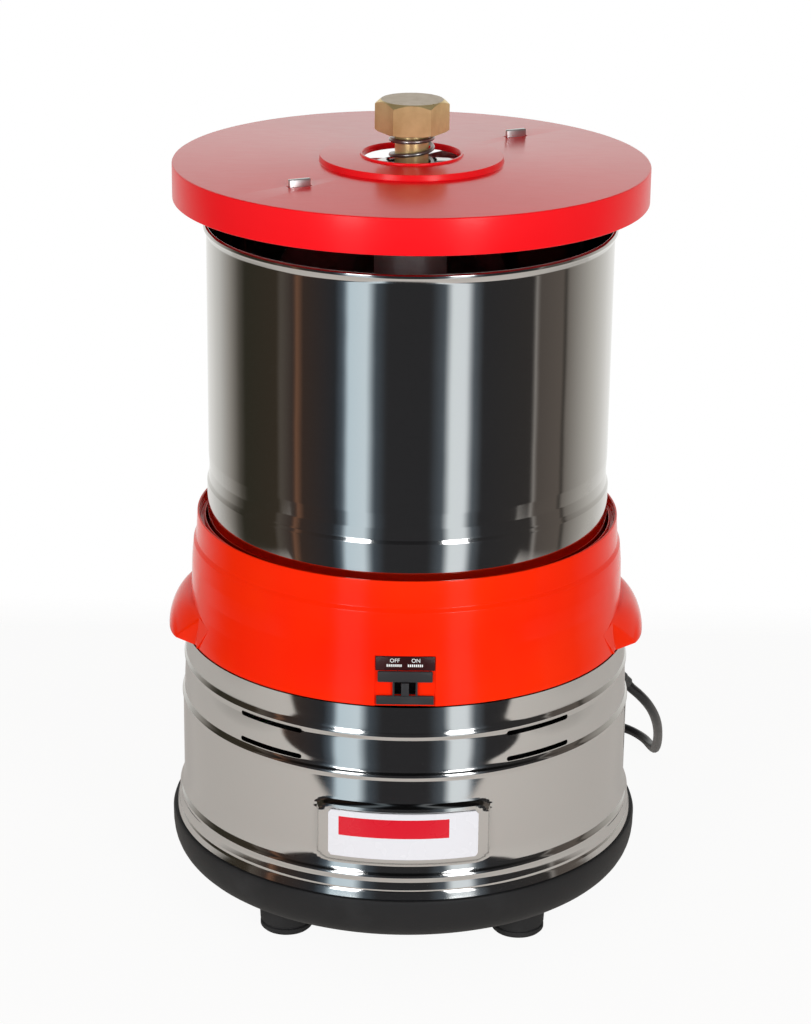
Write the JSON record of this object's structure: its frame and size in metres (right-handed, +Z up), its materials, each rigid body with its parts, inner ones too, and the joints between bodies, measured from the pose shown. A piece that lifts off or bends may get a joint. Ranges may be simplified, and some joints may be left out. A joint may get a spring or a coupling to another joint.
{
  "type": "chocolate melanger",
  "caption": "Table-top stone melanger: steel drum with granite rollers on a moulded housing, driven by a belt from a motor in its base, under a lid with a spring-loaded bolt.",
  "frame": {"origin": "on the floor plane under the drum's axis, at the centre of the machine's footprint", "axes": "+Z up along the drum's axis, -Y towards the switch at the front, +X towards the side where the cord leaves"},
  "size_m": [0.286, 0.3703, 0.4428],
  "materials": {
    "lid_red": "glossy red moulding",
    "collar_orange": "glossy orange-red moulding",
    "mirror_steel": "polished stainless steel",
    "plain_steel": "plain steel",
    "brass": "machined brass",
    "cast_aluminium": "cast and machined",
    "core_iron": "stacked iron sheets",
    "copper": "varnished copper wire",
    "black_plastic": "satin black moulding",
    "black_gloss": "glossy black plate",
    "rubber": "black rubber",
    "cord_black": "glossy black flexible jacket",
    "granite": "ground black granite",
    "plate_white": "plain white plate",
    "white_plastic": "white nylon"
  },
  "bodies": {
    "housing": {"collar": "collar_orange", "sleeve": "mirror_steel", "lid_bridge": "mirror_steel", "deck_plate": "plain_steel", "tab_bar": "plain_steel", "seat_bearing_low": "plain_steel", "seat_bearing_high": "plain_steel", "motor_bearing_top": "plain_steel", "motor_bearing_bottom": "plain_steel", "centre_shaft": "plain_steel", "roller_axle_left": "plain_steel", "roller_axle_right": "plain_steel", "scraper_arm": "plain_steel", "spring_seat": "plain_steel", "tension_spring": "plain_steel", "shaft_flange": "cast_aluminium", "holder_tower": "cast_aluminium", "motor_bracket_top": "cast_aluminium", "motor_bracket_bottom": "cast_aluminium", "motor_stator": "core_iron", "winding_top": "copper", "winding_bottom": "copper", "base_pan": "black_plastic", "switch_bezel": "black_plastic", "switch_body": "black_plastic", "switch_label": "black_gloss", "foot_front_left": "rubber", "foot_front_right": "rubber", "foot_rear_left": "rubber", "foot_rear_right": "rubber", "drive_belt": "rubber", "strain_relief": "rubber", "cord_lead": "cord_black", "cord_coil": "cord_black", "cord_tail": "cord_black", "plug": "cord_black", "name_plate": "plate_white", "scraper_blade": "white_plastic", "run_capacitor": "white_plastic", "terminal_block": "white_plastic"},
    "drum": {"drum_shell": "mirror_steel", "base_stone": "granite", "centre_tube": "mirror_steel", "tube_seal": "rubber", "drum_coupling": "plain_steel", "drum_seat": "cast_aluminium", "driven_pulley": "cast_aluminium"},
    "motor": {"motor_shaft": "plain_steel", "motor_rotor": "core_iron", "motor_fan": "white_plastic", "motor_pulley": "plain_steel"},
    "roller_right": {"roller_stone_right": "granite", "stone_bush_right": "white_plastic"},
    "roller_left": {"roller_stone_left": "granite", "stone_bush_left": "white_plastic"},
    "lid": {"lid": "lid_red"},
    "washer": {"spring_washer": "plain_steel"},
    "bolt": {"tension_bolt": "brass"},
    "switch": {"switch_slider": "black_plastic"}
  },
  "joints": [
    {"name": "drum_spin", "type": "hinge", "parent": "housing", "child": "drum", "pos_m": [0, 0, 0.2], "axis": [0, 0, 1], "continuous": true},
    {"name": "motor_spin", "type": "hinge", "parent": "housing", "child": "motor", "pos_m": [0, 0.076, 0.12], "axis": [0, 0, 1], "continuous": true},
    {"name": "roller_right_spin", "type": "hinge", "parent": "housing", "child": "roller_right", "pos_m": [0, 0, 0.2733], "axis": [0.9063, 0.4226, 0], "continuous": true},
    {"name": "roller_left_spin", "type": "hinge", "parent": "housing", "child": "roller_left", "pos_m": [0, 0, 0.2733], "axis": [0.9063, 0.4226, 0], "continuous": true},
    {"name": "lid_lift", "type": "slide", "parent": "housing", "child": "lid", "axis": [0, 0, 1], "range_m": [0, 0.06]},
    {"name": "washer_travel", "type": "slide", "parent": "housing", "child": "washer", "axis": [0, 0, 1], "range_m": [-0.004, 0.006], "deforming": ["tension_spring"]},
    {"name": "bolt_turn", "type": "hinge", "parent": "washer", "child": "bolt", "pos_m": [0, 0, 0.43], "axis": [0, 0, 1], "range_deg": [-720, 1080]},
    {"name": "switch_slide", "type": "slide", "parent": "housing", "child": "switch", "axis": [1, 0, 0], "range_m": [-0.0031, 0.0031]}
  ],
  "couplings": [
    {"joint": "motor_spin", "follows": "drum_spin", "ratio": 5.7248},
    {"joint": "roller_right_spin", "follows": "drum_spin", "ratio": 1.1042},
    {"joint": "roller_left_spin", "follows": "drum_spin", "ratio": -1.1042},
    {"joint": "washer_travel", "follows": "bolt_turn", "m_per_rad": 0.000318}
  ]
}
